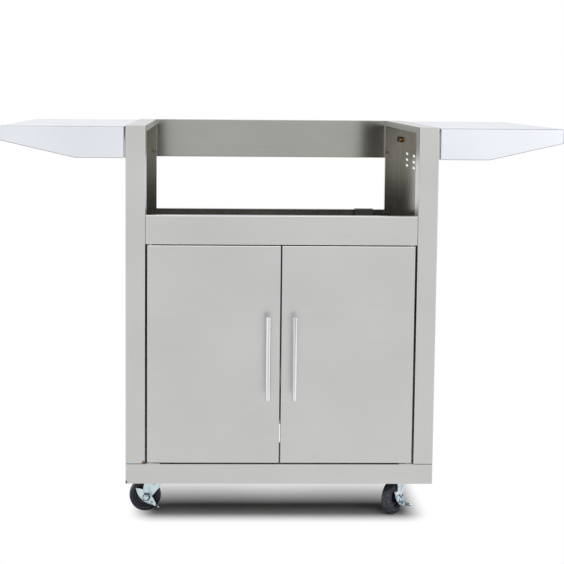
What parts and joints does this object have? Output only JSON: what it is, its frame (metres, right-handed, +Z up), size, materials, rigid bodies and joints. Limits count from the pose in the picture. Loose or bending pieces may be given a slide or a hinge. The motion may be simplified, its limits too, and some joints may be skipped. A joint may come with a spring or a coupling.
{
  "type": "pizza oven cart",
  "caption": "Stainless cart on swivel casters with an open bay for a countertop pizza oven, inset cabinet doors with bar handles, and folding wedge-sided side shelves.",
  "frame": {"origin": "on the floor under the middle of the cart's bounding box, with the shelves up and the doors shut", "axes": "+X to the viewer's right along the shelves, -Y to the front where the doors are, +Z up"},
  "size_m": [1.308, 0.6207, 0.93],
  "materials": {
    "brushed_stainless": "No. 4 brushed stainless sheet",
    "mill_stainless": "dull 2B mill finish stainless sheet",
    "polished_stainless": "fine ground stainless bar",
    "plain_fastener": "stainless screws and bolts",
    "yellow_zinc": "yellow passivated zinc on steel nuts",
    "bright_zinc": "blue-white zinc plated steel pressings",
    "tyre_rubber": "matt hard rubber",
    "hub_plastic": "black moulded plastic",
    "catch_plastic": "black moulded plastic",
    "magnet": "nickel plated magnet",
    "washer_nylon": "natural nylon",
    "guard_rubber": "grey rubber edge clip"
  },
  "bodies": {
    "cart_frame": {"base_pan": "brushed_stainless", "caster_channels": "mill_stainless", "left_side_panel": "brushed_stainless", "right_side_panel": "brushed_stainless", "front_panel": "brushed_stainless", "rear_upper_panel": "mill_stainless", "rear_lower_panel": "mill_stainless", "hose_edge_guard": "guard_rubber", "panel_screws": "plain_fastener", "panel_nuts": "yellow_zinc", "front_panel_screws": "plain_fastener", "front_panel_nuts": "yellow_zinc", "side_panel_bolts": "plain_fastener", "catch_housings": "catch_plastic", "catch_magnets": "magnet", "door_hinge_plates": "mill_stainless", "door_hinge_washers": "washer_nylon", "shelf_brackets": "mill_stainless", "shelf_bracket_bolts": "yellow_zinc", "caster_plates": "bright_zinc", "caster_kingpins": "bright_zinc", "caster_bolts": "plain_fastener"},
    "left_door": {"left_door_skin": "brushed_stainless", "left_door_liner": "mill_stainless", "left_door_pivot_pins": "plain_fastener", "left_door_strike": "plain_fastener", "left_handle_bar": "polished_stainless", "left_handle_posts": "polished_stainless"},
    "right_door": {"right_door_skin": "brushed_stainless", "right_door_liner": "mill_stainless", "right_door_pivot_pins": "plain_fastener", "right_door_strike": "plain_fastener", "right_handle_bar": "polished_stainless", "right_handle_posts": "polished_stainless"},
    "left_shelf": {"left_shelf_top": "brushed_stainless", "left_shelf_studs": "plain_fastener", "left_shelf_stud_nuts": "plain_fastener"},
    "right_shelf": {"right_shelf_top": "brushed_stainless", "right_shelf_studs": "plain_fastener", "right_shelf_stud_nuts": "plain_fastener"},
    "front_left_caster": {"front_left_fork": "bright_zinc", "front_left_axle": "plain_fastener"},
    "front_left_wheel": {"front_left_wheel_hub": "hub_plastic", "front_left_tyre": "tyre_rubber"},
    "front_left_brake": {"front_left_brake_lever": "bright_zinc"},
    "front_right_caster": {"front_right_fork": "bright_zinc", "front_right_axle": "plain_fastener"},
    "front_right_wheel": {"front_right_wheel_hub": "hub_plastic", "front_right_tyre": "tyre_rubber"},
    "front_right_brake": {"front_right_brake_lever": "bright_zinc"},
    "rear_left_caster": {"rear_left_fork": "bright_zinc", "rear_left_axle": "plain_fastener"},
    "rear_left_wheel": {"rear_left_wheel_hub": "hub_plastic", "rear_left_tyre": "tyre_rubber"},
    "rear_right_caster": {"rear_right_fork": "bright_zinc", "rear_right_axle": "plain_fastener"},
    "rear_right_wheel": {"rear_right_wheel_hub": "hub_plastic", "rear_right_tyre": "tyre_rubber"}
  },
  "joints": [
    {"name": "left_door_hinge", "type": "hinge", "parent": "cart_frame", "child": "left_door", "pos_m": [-0.3055, -0.25735, 0.393], "axis": [0, 0, -1], "range_deg": [0, 110]},
    {"name": "right_door_hinge", "type": "hinge", "parent": "cart_frame", "child": "right_door", "pos_m": [0.3055, -0.25735, 0.393], "axis": [0, 0, 1], "range_deg": [0, 110]},
    {"name": "left_shelf_fold", "type": "hinge", "parent": "cart_frame", "child": "left_shelf", "pos_m": [-0.376, 0.02165, 0.864], "axis": [0, -1, 0], "range_deg": [0, 90]},
    {"name": "right_shelf_fold", "type": "hinge", "parent": "cart_frame", "child": "right_shelf", "pos_m": [0.376, 0.02165, 0.864], "axis": [0, 1, 0], "range_deg": [0, 90]},
    {"name": "front_left_swivel", "type": "hinge", "parent": "cart_frame", "child": "front_left_caster", "pos_m": [-0.292, -0.20035, 0.09], "axis": [0, 0, 1], "continuous": true},
    {"name": "front_left_wheel_spin", "type": "hinge", "parent": "front_left_caster", "child": "front_left_wheel", "pos_m": [-0.32072, -0.20439, 0.038], "axis": [0.1392, -0.9903, 0], "continuous": true},
    {"name": "front_left_brake_press", "type": "hinge", "parent": "front_left_caster", "child": "front_left_brake", "pos_m": [-0.32072, -0.20439, 0.038], "axis": [0.1392, -0.9903, 0], "range_deg": [0, 25]},
    {"name": "front_right_swivel", "type": "hinge", "parent": "cart_frame", "child": "front_right_caster", "pos_m": [0.292, -0.20035, 0.09], "axis": [0, 0, 1], "continuous": true},
    {"name": "front_right_wheel_spin", "type": "hinge", "parent": "front_right_caster", "child": "front_right_wheel", "pos_m": [0.27537, -0.2241, 0.038], "axis": [0.8192, -0.5736, 0], "continuous": true},
    {"name": "front_right_brake_press", "type": "hinge", "parent": "front_right_caster", "child": "front_right_brake", "pos_m": [0.27537, -0.2241, 0.038], "axis": [0.8192, -0.5736, 0], "range_deg": [0, 25]},
    {"name": "rear_left_swivel", "type": "hinge", "parent": "cart_frame", "child": "rear_left_caster", "pos_m": [-0.292, 0.24265, 0.09], "axis": [0, 0, 1], "continuous": true},
    {"name": "rear_left_wheel_spin", "type": "hinge", "parent": "rear_left_caster", "child": "rear_left_wheel", "pos_m": [-0.31925, 0.25257, 0.038], "axis": [-0.342, -0.9397, 0], "continuous": true},
    {"name": "rear_right_swivel", "type": "hinge", "parent": "cart_frame", "child": "rear_right_caster", "pos_m": [0.292, 0.24265, 0.09], "axis": [0, 0, 1], "continuous": true},
    {"name": "rear_right_wheel_spin", "type": "hinge", "parent": "rear_right_caster", "child": "rear_right_wheel", "pos_m": [0.31576, 0.22602, 0.038], "axis": [0.5736, 0.8192, 0], "continuous": true}
  ]
}
